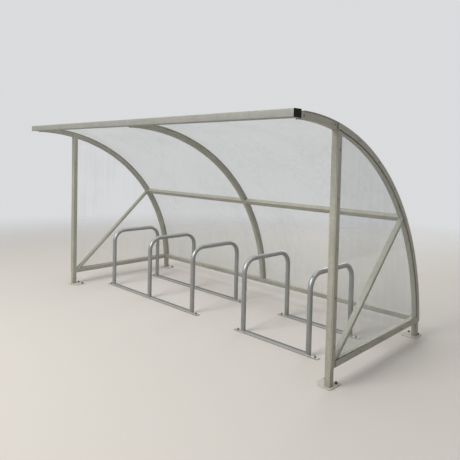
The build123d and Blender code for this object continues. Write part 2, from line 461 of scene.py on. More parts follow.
@dataclass(frozen=True)
class MouldedFinish:
    """Plastic or rubber with a fine grain and a little dust.

    Attributes:
        dust_band: Noise between which the dust sets in.
        back_dust: How much more dust lies at the shelter's back.
        back_band: Y between which that dust sets in.
        cloud_shine: How far the clouds change the roughness.
        dust_dullness: How much dust adds to it.
    """

    name: str
    colour: Colour
    dust: Colour = (0.22, 0.21, 0.19)
    dust_share: float = 0.30
    dust_band: Band = (0.42, 0.70)
    back_dust: float = 0.0
    back_band: Band = (-0.45, 0.55)
    roughness: float = 0.55
    cloud_shine: float = 0.2
    dust_dullness: float = 0.3
    specular: float = 0.5
    grain_strength: float = 0.3
    grain_depth: float = 0.0003
    clouds: Pattern = Pattern(22.0, 5.0)
    grain: Pattern = Pattern(700.0, 2.0)

    def make(self) -> bpy.types.Material:
        """Build the material.

        Returns:
            The finished material.
        """
        surface = Surface(self.name)
        clouds = surface.noise(self.clouds)
        dusty = surface.span(clouds, *self.dust_band) * self.dust_share
        if self.back_dust:
            dusty = (dusty + surface.span(surface.back, *self.back_band) * self.back_dust).clamp()
        return surface.close({
            "Base Color": surface.mix(dusty, self.colour, self.dust),
            "Roughness": self.roughness + clouds.swing(self.cloud_shine) + dusty * self.dust_dullness,
            "Normal": surface.relief(surface.noise(self.grain), self.grain_strength, self.grain_depth),
            "Specular IOR Level": self.specular,
        })


@dataclass(frozen=True)
class Finishes:
    """Every finish of the shelter, made once."""

    steel: bpy.types.Material
    beam: bpy.types.Material
    zinc: bpy.types.Material
    rail: bpy.types.Material
    strip: bpy.types.Material
    plate: bpy.types.Material
    weld: bpy.types.Material
    fastener: bpy.types.Material
    anchor: bpy.types.Material
    clear: bpy.types.Material
    cap: bpy.types.Material
    rubber: bpy.types.Material
    seal: bpy.types.Material

    @classmethod
    def make(cls) -> "Finishes":
        """Build all the materials.

        Returns:
            The finishes.
        """
        return cls(
            steel=ZincFinish(
                name="weathered_galvanised_tube",
                dark=(0.27, 0.265, 0.222),
                light=(0.47, 0.46, 0.39),
            ).make(),
            # The frame's weathered steel made darker as painted shade, against the stronger light on the
            # beam's top and front.
            beam=ZincFinish(
                name="front_beam_painted_darker",
                dark=(0.215, 0.218, 0.198),
                light=(0.355, 0.355, 0.322),
                roughness=0.58,
            ).make(),
            zinc=ZincFinish(
                name="bright_galvanised_rack",
                dark=(0.195, 0.204, 0.202),
                light=(0.435, 0.446, 0.438),
                crystal=0.011,
                crystal_share=0.10,
                cloud_share=0.45,
                streak_share=0.6,
                patch_share=0.10,
                metallic=0.7,
                roughness=0.35,
                shine_spread=0.12,
                # Painted highlight on the hoops' feet, level with the rails' painted light band.
                highlight_height=0.018,
                highlight_share=0.6,
                relief_depth=0.0002,
            ).make(),
            # The rail's light band, the darker metal above it and its dark line at the floor are painted
            # light and shade.
            rail=ZincFinish(
                name="rack_rail_painted_light",
                dark=(0.14, 0.145, 0.143),
                light=(0.345, 0.35, 0.34),
                crystal=0.011,
                crystal_share=0.3,
                metallic=0.3,
                roughness=0.45,
                grime_share=0.3,
                painted_highlight=(0.48, 0.485, 0.465),
                highlight_height=0.019,
                painted_shade_share=0.5,
            ).make(),
            strip=ZincFinish(
                name="weathered_clamp_strip",
                dark=(0.275, 0.26, 0.212),
                light=(0.44, 0.425, 0.355),
                crystal_share=0.08,
                cloud_share=0.6,
                streak_share=0.8,
                roughness=0.48,
            ).make(),
            plate=ZincFinish(
                name="dusty_base_plate",
                dark=(0.36, 0.35, 0.31),
                light=(0.50, 0.48, 0.43),
                metallic=0.1,
                roughness=0.7,
                grime=(0.53, 0.49, 0.43),
                grime_height=0.05,
                grime_share=0.9,
            ).make(),
            weld=ZincFinish(
                name="zinc_coated_weld",
                dark=(0.42, 0.42, 0.40),
                light=(0.72, 0.72, 0.69),
                crystal_share=0.1,
                roughness=0.42,
            ).make(),
            fastener=ZincFinish(
                name="weathered_fastener",
                dark=(0.12, 0.12, 0.11),
                light=(0.30, 0.295, 0.27),
                crystal_share=0.0,
                metallic=0.5,
                roughness=0.45,
                grime_height=0.06,
            ).make(),
            anchor=ZincFinish(
                name="dark_floor_anchor",
                dark=(0.030, 0.028, 0.026),
                light=(0.13, 0.12, 0.105),
                crystal_share=0.0,
                metallic=0.4,
                roughness=0.55,
                grime=(0.16, 0.12, 0.085),
                grime_height=0.02,
            ).make(),
            clear=SheetFinish().make(),
            cap=MouldedFinish(
                name="black_cap_plastic",
                colour=(0.008, 0.008, 0.009),
                dust_share=0.04,
                roughness=0.75,
                specular=0.2,
            ).make(),
            rubber=MouldedFinish(
                name="gasket_rubber",
                colour=(0.030, 0.029, 0.026),
                dust=(0.29, 0.28, 0.235),
                dust_share=0.2,
                back_dust=0.8,
                roughness=0.8,
            ).make(),
            seal=MouldedFinish(
                name="grey_edge_seal",
                colour=(0.38, 0.37, 0.315),
                dust_share=0.3,
                roughness=0.7,
            ).make(),
        )


class Maker(Graph):
    """A Geometry Nodes tree that turns guide meshes into plain finished ones."""

    def __init__(self, name: str) -> None:
        """Make an empty tree with a geometry input, a finish input and an output.

        Args:
            name: Name of the tree.
        """
        super().__init__(bpy.data.node_groups.new(name, "GeometryNodeTree"))
        self.keys: dict[str, str] = {}
        self.socket("Geometry", "NodeSocketGeometry")
        self.tree.interface.new_socket("Geometry", in_out="OUTPUT", socket_type="NodeSocketGeometry")
        self.socket("Finish", "NodeSocketMaterial")
        self.entry = self.node("NodeGroupInput")

    def socket(self, name: str, kind: str) -> bpy.types.NodeTreeInterfaceSocket:
        """Add a named input to the tree and remember its identifier.

        Args:
            name: Name of the input.
            kind: Blender's socket type.

        Returns:
            The new interface socket.
        """
        item = self.tree.interface.new_socket(name, in_out="INPUT", socket_type=kind)
        self.keys[name] = item.identifier
        return item

    def given(self, name: str) -> Field:
        """Return one of the tree's named inputs as a field."""
        return Field(self, self.entry.outputs[name])

    def size(self, name: str, usual: float) -> Field:
        """Add a named size with its usual value and return it as a field."""
        self.socket(name, "NodeSocketFloat").default_value = usual
        return self.given(name)

    def curve(self) -> Field:
        """Return the guide's edges as curves."""
        return self.read("GeometryNodeMeshToCurve", 0, {0: self.given("Geometry")})

    def piped(self, line: Field, radius: Value, sides: int) -> Field:
        """Return a smooth round tube along a curve, closed at its ends.

        Args:
            line: The curve.
            radius: Radius of the tube.
            sides: Number of points round it.

        Returns:
            The mesh.
        """
        circle = self.read(
            "GeometryNodeCurvePrimitiveCircle", 0, {"Resolution": sides, "Radius": radius}
        )
        values = {"Curve": line, "Profile Curve": circle, "Fill Caps": True}
        tube = self.read("GeometryNodeCurveToMesh", 0, values)
        return self.read("GeometryNodeSetShadeSmooth", 0, {0: tube})

    def turned(self, radius: Value, depth: Value, sides: int, lift: Value) -> Field:
        """Return an upright prism or cylinder.

        Args:
            radius: Radius of its corners.
            depth: Its height.
            sides: Number of its sides.
            lift: Height of its middle above the seat.

        Returns:
            The mesh.
        """
        values = {"Vertices": sides, "Radius": radius, "Depth": depth}
        body = self.read("GeometryNodeMeshCylinder", 0, values)
        middle = self.read("ShaderNodeCombineXYZ", 0, {"Z": lift})
        return self.read("GeometryNodeTransform", 0, {"Geometry": body, "Translation": middle})

    def joined(self, *parts: Field) -> Field:
        """Return several geometries as one.

        Args:
            parts: The geometries in order.

        Returns:
            All of them together.
        """
        node = self.node("GeometryNodeJoinGeometry")
        for part in reversed(parts):
            self.tree.links.new(part.socket, node.inputs[0])
        return Field(self, node.outputs[0])

    def on_seats(self, fitting: Field, seed: int) -> Field:
        """Set a fitting on each guide point, along its seat direction, at a random turn.

        Args:
            fitting: Mesh with its seat at the origin and +Z outwards.
            seed: Fixed seed of the turns.

        Returns:
            The instances.
        """
        seat = self.read("GeometryNodeInputNamedAttribute", 0, {"Name": SEAT}, data_type="FLOAT_VECTOR")
        upright = self.read("FunctionNodeAlignRotationToVector", 0, {"Vector": seat}, axis="Z")
        values = {RANDOM_MAXIMUM: math.tau, "Seed": seed}
        spin = self.read("FunctionNodeRandomValue", RANDOM_RESULT, values, data_type="FLOAT")
        turn = self.read("FunctionNodeAxisAngleToRotation", 0, {"Angle": spin})
        values = {0: upright, 1: turn}
        rotation = self.read("FunctionNodeRotateRotation", 0, values, rotation_space="LOCAL")
        values = {"Points": self.given("Geometry"), "Instance": fitting, "Rotation": rotation}
        return self.read("GeometryNodeInstanceOnPoints", 0, values)

    def close(self, shape: Field) -> "Maker":
        """End the tree in Realize Instances and Set Material.

        Args:
            shape: The finished geometry.

        Returns:
            The maker itself.
        """
        real = self.read("GeometryNodeRealizeInstances", 0, {0: shape})
        values = {"Geometry": real, "Material": self.given("Finish")}
        self.node("NodeGroupOutput", {0: self.read("GeometryNodeSetMaterial", 0, values)})
        return self

    def run(
        self, name: str, guide: bpy.types.Mesh, finish: bpy.types.Material, **sizes: float
    ) -> bpy.types.Object:
        """Run the tree on a guide and keep the result as a plain mesh.

        Args:
            name: Name of the new piece.
            guide: Guide mesh, in the frame's coordinates.
            finish: Material of the piece.
            sizes: Values of the tree's named sizes.

        Returns:
            The new piece.
        """
        carrier = link(name + "_guide", guide)
        modifier = carrier.modifiers.new("shape", "NODES")
        modifier.node_group = self.tree
        modifier[self.keys["Finish"]] = finish
        for key, value in sizes.items():
            modifier[self.keys[key]] = value
        graph = bpy.context.evaluated_depsgraph_get()
        mesh = bpy.data.meshes.new_from_object(carrier.evaluated_get(graph))
        bpy.data.objects.remove(carrier)
        mesh.name = name
        mesh.materials.clear()
        mesh.materials.append(finish)
        return link(name, mesh)


@dataclass(frozen=True)
class BentTube:
    """Round tube, bent at the corners of its guide.

    Attributes:
        radius: Usual radius of the tube.
        bend: Usual radius of its bends.
        bend_points: Points along each bend.
        sides: Points round the tube.
    """

    radius: float = 0.02
    bend: float = 0.1
    bend_points: int = 18
    sides: int = 32

    def make(self) -> Maker:
        """Build the tree.

        Returns:
            The maker of such tubes.
        """
        maker = Maker("bent_tube")
        radius = maker.size("radius", self.radius)
        bend = maker.size("bend", self.bend)
        values = {"Curve": maker.curve(), "Count": self.bend_points, "Radius": bend}
        line = maker.read("GeometryNodeFilletCurve", 0, values, mode="POLY")
        return maker.close(maker.piped(line, radius, self.sides))


@dataclass(frozen=True)
class Bead:
    """Bead that follows a line, rippled as a weld is, or plain.

    Attributes:
        radius: Usual radius of the bead.
        ripple: Usual distance between its ripples.
        swell: Usual share of the radius that it swells and shrinks by.
        step: Usual distance between its rings.
        ripple_share: Share of the swell that is in even ripples.
        rough_share: How strongly the noise adds to them.
        rough_scale: Scale of that noise.
        rough_seed: Its fixed place, which stands for a seed.
        sides: Points round the bead.
    """

    radius: float = 0.0025
    ripple: float = 0.005
    swell: float = 0.25
    step: float = 0.0015
    ripple_share: float = 0.6
    rough_share: float = 2.0
    rough_scale: float = 90.0
    rough_seed: float = 3.0
    sides: int = 7

    def make(self) -> Maker:
        """Build the tree.

        Returns:
            The maker of such beads.
        """
        maker = Maker("bead")
        radius = maker.size("radius", self.radius)
        ripple = maker.size("ripple", self.ripple)
        swell = maker.size("swell", self.swell)
        step = maker.size("step", self.step)
        values = {"Curve": maker.curve(), "Length": step}
        line = maker.read("GeometryNodeResampleCurve", 0, values, mode="LENGTH")
        along = maker.read("GeometryNodeSplineParameter", "Length")
        values = {"W": self.rough_seed, "Scale": self.rough_scale}
        noise = maker.read("ShaderNodeTexNoise", 0, values, noise_dimensions="4D")
        wave = (along * math.tau / ripple).sine() * self.ripple_share + noise.swing(self.rough_share)
        values = {"Curve": line, "Radius": 1.0 + wave * swell}
        line = maker.read("GeometryNodeSetCurveRadius", 0, values)
        return maker.close(maker.piped(line, radius, self.sides))


@dataclass(frozen=True)
class FlangedScrew:
    """Hexagon screw with a flange and a low crown on its head.

    Attributes:
        head: Usual radius of the head's corners.
        flange: Usual radius of the flange.
        rise: Usual height of the head.
        flange_depth: Thickness of the flange.
        head_seat: Height where the head starts, just inside the flange.
        crown_share: Radius of the crown as a share of the head's.
        crown_depth: Thickness of the crown.
        seed: Seed of the heads' turns.
    """

    head: float = 0.0045
    flange: float = 0.0075
    rise: float = 0.004
    flange_depth: float = 0.0012
    flange_sides: int = 16
    head_seat: float = 0.001
    head_sides: int = 6
    crown_share: float = 0.78
    crown_depth: float = 0.0006
    crown_sides: int = 12
    seed: int = 11

    def make(self) -> Maker:
        """Build the tree.

        Returns:
            The maker of such screws, one on each guide point.
        """
        maker = Maker("flanged_screw")
        head = maker.size("head", self.head)
        flange = maker.size("flange", self.flange)
        rise = maker.size("rise", self.rise)
        parts = (
            maker.turned(flange, self.flange_depth, self.flange_sides, self.flange_depth / 2),
            maker.turned(head, rise, self.head_sides, rise / 2 + self.head_seat),
            maker.turned(
                head * self.crown_share, self.crown_depth, self.crown_sides, rise + self.flange_depth
            ),
        )
        return maker.close(maker.on_seats(maker.joined(*parts), self.seed))


@dataclass(frozen=True)
class FloorAnchor:
    """Washer, nut and the end of a threaded stud.

    Attributes:
        washer: Usual radius of the washer.
        nut: Usual radius of the nut's corners.
        stud: Usual radius of the stud.
        height: Usual height of the stud.
        collar_share: Radius of the round end of the nut as a share of the nut's.
        collar_rise: Height of its middle above the nut.
        thread_rise: How far the thread stands out of the stud.
        thread_start: Depth of its first turn below the stud's end.
        seed: Seed of the anchors' turns.
    """

    washer: float = 0.013
    nut: float = 0.0110
    stud: float = 0.0058
    height: float = 0.026
    washer_depth: float = 0.0025
    washer_sides: int = 24
    nut_depth: float = 0.010
    nut_sides: int = 6
    collar_share: float = 0.84
    collar_depth: float = 0.0006
    collar_rise: float = 0.0002
    collar_sides: int = 18
    stud_sides: int = 14
    thread_turns: int = 6
    thread_rise: float = 0.0005
    thread_depth: float = 0.0008
    thread_start: float = 0.0014
    thread_pitch: float = 0.0019
    seed: int = 5

    def make(self) -> Maker:
        """Build the tree.

        Returns:
            The maker of such anchors, one on each guide point.
        """
        maker = Maker("floor_anchor")
        washer = maker.size("washer", self.washer)
        nut = maker.size("nut", self.nut)
        stud = maker.size("stud", self.stud)
        height = maker.size("height", self.height)
        nut_top = self.washer_depth + self.nut_depth
        nut_middle = self.washer_depth + self.nut_depth / 2
        collar = nut * self.collar_share
        parts = [
            maker.turned(washer, self.washer_depth, self.washer_sides, self.washer_depth / 2),
            maker.turned(nut, self.nut_depth, self.nut_sides, nut_middle),
            maker.turned(collar, self.collar_depth, self.collar_sides, nut_top + self.collar_rise),
            maker.turned(stud, height, self.stud_sides, height / 2),
        ]
        ridge = stud + self.thread_rise
        first = height - self.thread_start
        for turn in range(self.thread_turns):
            level = first - turn * self.thread_pitch
            parts.append(maker.turned(ridge, self.thread_depth, self.stud_sides, level))
        return maker.close(maker.on_seats(maker.joined(*parts), self.seed))


def link(name: str, mesh: bpy.types.Mesh) -> bpy.types.Object:
    """Put a mesh into the scene as an object at the origin.

    Args:
        name: Name of the object.
        mesh: Its mesh, in the frame's coordinates.

    Returns:
        The new object.
    """
    made = bpy.data.objects.new(name, mesh)
    bpy.context.scene.collection.objects.link(made)
    return made


def adopt(piece: bpy.types.Object, slot: Slot, *nodes: str) -> None:
    """Make a piece ride on the frame and report it.

    Args:
        piece: The finished piece.
        slot: Material slot of the record. Not used.
        nodes: Nodes of the frame that the piece stands for.
    """
    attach(piece, BODY)
    if nodes:
        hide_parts(*nodes)
    LOG.info("%s: %d faces, in place of %s", piece.name, len(piece.data.polygons), nodes or "nothing")


def paint(node: str, finish: bpy.types.Material) -> None:
    """Give a node of the frame its finish and report it.

    Args:
        node: Node of the frame.
        finish: Its material.
    """
    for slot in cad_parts[node].material_slots:
        slot.material = finish
    LOG.info("%s: %s", node, finish.name)


def lines_mesh(name: str, lines: Iterable[Sequence[Vector]], closed: bool = False) -> bpy.types.Mesh:
    """Return a guide mesh of edges only.

    Args:
        name: Name of the mesh.
        lines: Points of each line in order.
        closed: Whether each line ends where it starts.

    Returns:
        The guide mesh.
    """
    points: list[Vector] = []
    edges: list[tuple[int, int]] = []
    for line in lines:
        first = len(points)
        points.extend(line)
        edges.extend((number, number + 1) for number in range(first, len(points) - 1))
        if closed:
            edges.append((len(points) - 1, first))
    mesh = bpy.data.meshes.new(name)
    mesh.from_pydata(points, edges, [])
    return mesh


def seats_mesh(name: str, seats: Iterable[Seat]) -> bpy.types.Mesh:
    """Return a guide mesh of points, each with the direction that its fitting faces.

    Args:
        name: Name of the mesh.
        seats: Place and outward direction of each fitting.

    Returns:
        The guide mesh.
    """
    places, directions = zip(*seats)
    mesh = bpy.data.meshes.new(name)
    mesh.from_pydata(places, [], [])
    attribute = mesh.attributes.new(SEAT, "FLOAT_VECTOR", "POINT")
    for number, direction in enumerate(directions):
        attribute.data[number].vector = direction
    return mesh


def skin(name: str, rings: Sequence[Line], finish: bpy.types.Material) -> bpy.types.Object:
    """Stretch a closed skin over rings of points and cap both its ends.

    Args:
        name: Name of the new piece.
        rings: Rings with the same number of points, in order along the piece.
        finish: Material of the piece.

    Returns:
        The new piece.
    """
    shape = bmesh.new()
    rows = [[shape.verts.new(point) for point in ring] for ring in rings]
    for row, following in zip(rows, rows[1:]):
        for number in range(len(row)):
            after = (number + 1) % len(row)
            shape.faces.new((row[number], row[after], following[after], following[number]))
    shape.faces.new(rows[0])
    shape.faces.new(rows[-1])
    bmesh.ops.recalc_face_normals(shape, faces=shape.faces)
    mesh = bpy.data.meshes.new(name)
    shape.to_mesh(mesh)
    shape.free()
    mesh.materials.append(finish)
    mesh.shade_smooth()
    mesh.set_sharp_from_angle(angle=SHARP_ANGLE)
    return link(name, mesh)


@dataclass(frozen=True)
class Section:
    """Rectangle with rounded corners, across a tube."""

    width: float
    depth: float
    corner: float
    steps: int = 5

    def points(self) -> list[tuple[float, float]]:
        """Return the outline.

        Returns:
            Its points in order round the section.
        """
        points = []
        for quarter, (side_u, side_v) in enumerate(((1, 1), (-1, 1), (-1, -1), (1, -1))):
            middle_u = side_u * (self.width / 2 - self.corner)
            middle_v = side_v * (self.depth / 2 - self.corner)
            for step in range(self.steps + 1):
                angle = math.pi / 2 * (quarter + step / self.steps)
                point = (middle_u + self.corner * math.cos(angle), middle_v + self.corner * math.sin(angle))
                points.append(point)
        return points

    def ring(self, middle: Vector, across: Vector, outward: Vector) -> Line:
        """Return the outline round a middle, its width along across and its depth along outward."""
        return [middle + across * u + outward * v for u, v in self.points()]


@dataclass(frozen=True)
class Layout:
    """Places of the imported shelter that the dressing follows.

    Attributes:
        half: X of the outer face of the right end frame.
        tube: Width of the square tube.
        post_front: Y of the posts' front face.
        plate_top: Height of the base plates' top.
        rib_y: Y of the ribs' centre line.
        rib_z: Height of that line, where the ribs leave their straight feet.
        rib_outer: Radius of the ribs' outer face.
        nose: Y of the ribs' front ends.
        rail_low: Height of the bottom of the end frames' rails.
        rail_high: Height of their top.
        mid_angle: Angle of the middle rails about the ribs' centre.
        strip_face: X of the outer face of the right end's strips.
        strip_width: Width of the strips.
        sheet: Thickness of the sheets, and of the strips too.
        brace_foot: Distance of the braces' feet behind the posts.
    """

    half: float
    tube: float
    post_front: float
    plate_top: float
    rib_y: float
    rib_z: float
    rib_outer: float
    nose: float
    rail_low: float
    rail_high: float
    mid_angle: float
    strip_face: float
    strip_width: float = 0.045
    sheet: float = 0.005
    brace_foot: float = 0.035

    @classmethod
    def read(cls, spring: float = 0.065) -> "Layout":
        """Take the places from the frame.

        Args:
            spring: Height where the ribs leave their straight feet.

        Returns:
            The layout.
        """
        post_low, post_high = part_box("right_post")
        rib_low, rib_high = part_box("right_rib")
        rail_low, rail_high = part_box("right_side_rail")
        mid_low, mid_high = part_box("mid_rail_right")
        _, strip_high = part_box("right_rib_strip")
        outer = rib_high.z - spring
        centre_y = rib_high.y - outer
        middle = (mid_low + mid_high) / 2
        return cls(
            half=post_high.x,
            tube=post_high.x - post_low.x,
            post_front=post_low.y,
            plate_top=post_low.z,
            rib_y=centre_y,
            rib_z=spring,
            rib_outer=outer,
            nose=rib_low.y,
            rail_low=rail_low.z,
            rail_high=rail_high.z,
            mid_angle=math.atan2(middle.z - spring, middle.y - centre_y),
            strip_face=strip_high.x,
        )

    @property
    def rib_inner(self) -> float:
        """Return the radius of the ribs' inner face."""
        return self.rib_outer - self.tube

    @property
    def rib_middle(self) -> float:
        """Return the radius of the ribs' middle line."""
        return self.rib_outer - self.tube / 2

    @property
    def strip_inner(self) -> float:
        """Return the radius of the inner edge of the ribs' strips."""
        return self.rib_outer - self.strip_width

    @property
    def strip_middle(self) -> float:
        """Return the radius of the middle of the ribs' strips."""
        return self.rib_outer - self.strip_width / 2

    @property
    def post_back(self) -> float:
        """Return the Y of the posts' back face."""
        return self.post_front + self.tube

    @property
    def rail_middle(self) -> float:
        """Return the height of the middle of the end frames' rails."""
        return (self.rail_low + self.rail_high) / 2

    def end(self, side: Side) -> float:
        """Return the X of the middle of an end frame."""
        return side.value * (self.half - self.tube / 2)

    def radial(self, angle: float) -> Vector:
        """Return the outward unit direction at an angle round the curve."""
        return Vector((0.0, math.cos(angle), math.sin(angle)))

    def on_curve(self, x: float, radius: float, angle: float) -> Vector:
        """Return the point at an X, a radius and an angle about the ribs' centre."""
        return Vector((x, self.rib_y, self.rib_z)) + self.radial(angle) * radius

    def radius_of(self, point: Vector) -> float:
        """Return a point's distance from the ribs' centre line, or its height above it where in front."""
        return math.hypot(max(point.y - self.rib_y, 0.0), point.z - self.rib_z)

    def to_curve(self, start: Vector, run: Vector, radius: float) -> Vector:
        """Follow a line until it leaves a cylinder about the ribs' centre.

        Args:
            start: Point inside the cylinder.
            run: Direction to follow.
            radius: Radius of the cylinder.

        Returns:
            The point where the line leaves it.
        """
        along_y, along_z = start.y - self.rib_y, start.z - self.rib_z
        square = run.y**2 + run.z**2
        half_linear = along_y * run.y + along_z * run.z
        rest = along_y**2 + along_z**2 - radius**2
        return start + run * ((math.sqrt(half_linear**2 - square * rest) - half_linear) / square)

    def angle_at_y(self, y: float, radius: float) -> float:
        """Return the angle where a circle about the ribs' centre reaches a Y."""
        return math.acos((y - self.rib_y) / radius)

    def angle_at_z(self, z: float, radius: float) -> float:
        """Return the angle where a circle about the ribs' centre reaches a height."""
        return math.asin((z - self.rib_z) / radius)

    def arc(self, x: float, radius: float, start: float, end: float, step: float = 0.02) -> Line:
        """Return points along an arc about the ribs' centre.

        Args:
            x: Plane of the arc.
            radius: Its radius.
            start: First angle.
            end: Last angle.
            step: Largest angle between points.

        Returns:
            The points, both ends included.
        """
        count = max(2, math.ceil(abs(end - start) / step))
        return [self.on_curve(x, radius, start + (end - start) * n / count) for n in range(count + 1)]

    def brace_line(self, x: float) -> tuple[Vector, Vector]:
        """Return the two ends of a brace's line in the plane of an X, the lower one first."""
        low = Vector((x, self.post_back + self.brace_foot, self.rail_high))
        return low, self.on_curve(x, self.rib_inner, self.mid_angle)


@dataclass
class SteelFrame:
    """Posts, ribs, rails, braces and beam as tubes with rounded corners, and their welds.

    Attributes:
        corner: Radius of the square tube's corners.
        beam_corner: Radius of the beam's corners.
        brace_depth: Depth of the braces' tube.
        rib_steps: Stretches along a rib's curve.
        weld_radius: Radius of the weld beads.
        cover_margin: Depth below the frame's outer faces that sheets and strips hide.
        seams: Rings at the tubes' ends, where they are welded.
    """

    layout: Layout
    finishes: Finishes
    beads: Maker
    corner: float = 0.0035
    beam_corner: float = 0.007
    brace_depth: float = 0.030
    rib_steps: int = 64
    weld_radius: float = 0.0028
    cover_margin: float = 0.004
    seams: list[Line] = field(default_factory=list)

    def build(self) -> None:
        """Build every tube and the welds, and dress the ribs' plates."""
        for side in Side:
            self.post(side)
            self.side_rail(side)
            self.brace(side)
            self.rib(f"{side.word}_rib", self.layout.end(side), True)
            self.back_rail("mid_rail", side)
            self.back_rail("back_bottom_rail", side)
        self.rib("middle_rib", 0.0, False)
        self.beam()
        self.welds()
        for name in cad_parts:
            if "rib_plate" in name:
                paint(name, self.finishes.steel)

    def place(self, node: str, rings: Sequence[Line]) -> None:
        """Skin a tube over its rings in place of a node, and note its seams."""
        self.seams.extend((rings[0], rings[-1]))
        adopt(skin(node + "_tube", rings, self.finishes.steel), Slot.STEEL, node)

    def square(self) -> Section:
        """Return the section of the square tube."""
        return Section(self.layout.tube, self.layout.tube, self.corner)

    def post(self, side: Side) -> None:
        """Build a post from its plate up to the rib.

        Args:
            side: End of the shelter.
        """
        layout = self.layout
        foot = Vector((layout.end(side), layout.post_front + layout.tube / 2, layout.plate_top))
        low = self.square().ring(foot, ALONG, BACKWARD)
        high = [layout.to_curve(point, UPWARD, layout.rib_inner) for point in low]
        self.place(f"{side.word}_post", [low, high])

    def side_rail(self, side: Side) -> None:
        """Build the rail near the floor of an end frame.

        Args:
            side: End of the shelter.
        """
        layout = self.layout
        front = Vector((layout.end(side), layout.post_back, layout.rail_middle))
        near = self.square().ring(front, ALONG, UPWARD)
        far = [layout.to_curve(point, BACKWARD, layout.rib_inner) for point in near]
        self.place(f"{side.word}_side_rail", [near, far])

    def brace(self, side: Side) -> None:
        """Build the diagonal from the foot of the post to the rib.

        Args:
            side: End of the shelter.
        """
        layout = self.layout
        low, high = layout.brace_line(layout.end(side))
        run = (high - low).normalized()
        section = Section(layout.tube, self.brace_depth, self.corner)
        ring = section.ring((low + high) / 2, ALONG, ALONG.cross(run))
        near = [point + run * self.brace_stop(point, run) for point in ring]
        far = [layout.to_curve(point, run, layout.rib_inner) for point in ring]
        self.place(f"{side.word}_brace", [near, far])

    def brace_stop(self, point: Vector, run: Vector) -> float:
        """Return how far along its run a line of the brace meets the post or the rail.

        Args:
            point: Point on the line.
            run: Unit direction of the brace, upwards.

        Returns:
            The distance, below zero where the meeting lies behind the point.
        """
        to_rail = (self.layout.rail_high - point.z) / run.z
        to_post = (self.layout.post_back - point.y) / run.y
        return max(to_rail, to_post)

    def rib(self, node: str, x: float, foot: bool) -> None:
        """Build a curved rib.

        Args:
            node: Node of the frame.
            x: Middle of the rib.
            foot: Whether it stands on the floor.
        """
        layout = self.layout
        radius = layout.rib_middle
        section = self.square()
        low = 0.0 if foot else layout.angle_at_z(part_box(node)[0].z, radius)
        rings = []
        if foot:
            middle = Vector((x, layout.rib_y + radius, layout.plate_top))
            rings.append(section.ring(middle, ALONG, BACKWARD))
        for step in range(self.rib_steps + 1):
            angle = low + (math.pi / 2 - low) * step / self.rib_steps
            rings.append(section.ring(layout.on_curve(x, radius, angle), ALONG, layout.radial(angle)))
        middle = Vector((x, layout.nose, layout.rib_z + radius))
        rings.append(section.ring(middle, ALONG, UPWARD))
        self.place(node, rings)

    def back_rail(self, stem: str, side: Side) -> None:
        """Build a rail between an end rib and the middle rib.

        Args:
            stem: Name of the rail without its side.
            side: End of the shelter.
        """
        layout = self.layout
        node = f"{stem}_{side.word}"
        low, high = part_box(node)
        middle = (low + high) / 2
        outward = Vector((0, middle.y - layout.rib_y, middle.z - layout.rib_z)).normalized()
        tangent = Vector((0, -outward.z, outward.y))
        ends = [Vector((x, middle.y, middle.z)) for x in (low.x, high.x)]
        self.place(node, [self.square().ring(end, tangent, outward) for end in ends])

    def beam(self) -> None:
        """Build the beam along the front of the roof and dress its end caps."""
        low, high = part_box("front_beam")
        section = Section(high.y - low.y, high.z - low.z, self.beam_corner)
        middle = (low + high) / 2
        ends = [Vector((x, middle.y, middle.z)) for x in (low.x, high.x)]
        rings = [section.ring(end, BACKWARD, UPWARD) for end in ends]
        # The beam's finish is the frame steel darkened as painted shade.
        adopt(skin("front_beam_tube", rings, self.finishes.beam), Slot.STEEL, "front_beam")
        for side in Side:
            paint(f"{side.word}_beam_cap", self.finishes.cap)

    def covered(self, point: Vector) -> bool:
        """Return whether a sheet or strip lies over a point of a seam."""
        layout, margin = self.layout, self.cover_margin
        return abs(point.x) > layout.half - margin or layout.radius_of(point) > layout.rib_outer - margin

    def open_runs(self, ring: Line) -> list[Line]:
        """Return the stretches of a seam that nothing covers.

        Args:
            ring: Closed seam.

        Returns:
            Lines of two points or more.
        """
        runs: list[Line] = [[]]
        for point in [*ring, ring[0]]:
            if self.covered(point):
                runs.append([])
            else:
                runs[-1].append(point)
        return [run for run in runs if len(run) > 1]

    def welds(self) -> None:
        """Build the weld beads round the tubes' ends."""
        guide = lines_mesh("frame_seams", [run for ring in self.seams for run in self.open_runs(ring)])
        piece = self.beads.run("frame_weld_beads", guide, self.finishes.weld, radius=self.weld_radius)
        adopt(piece, Slot.STEEL)


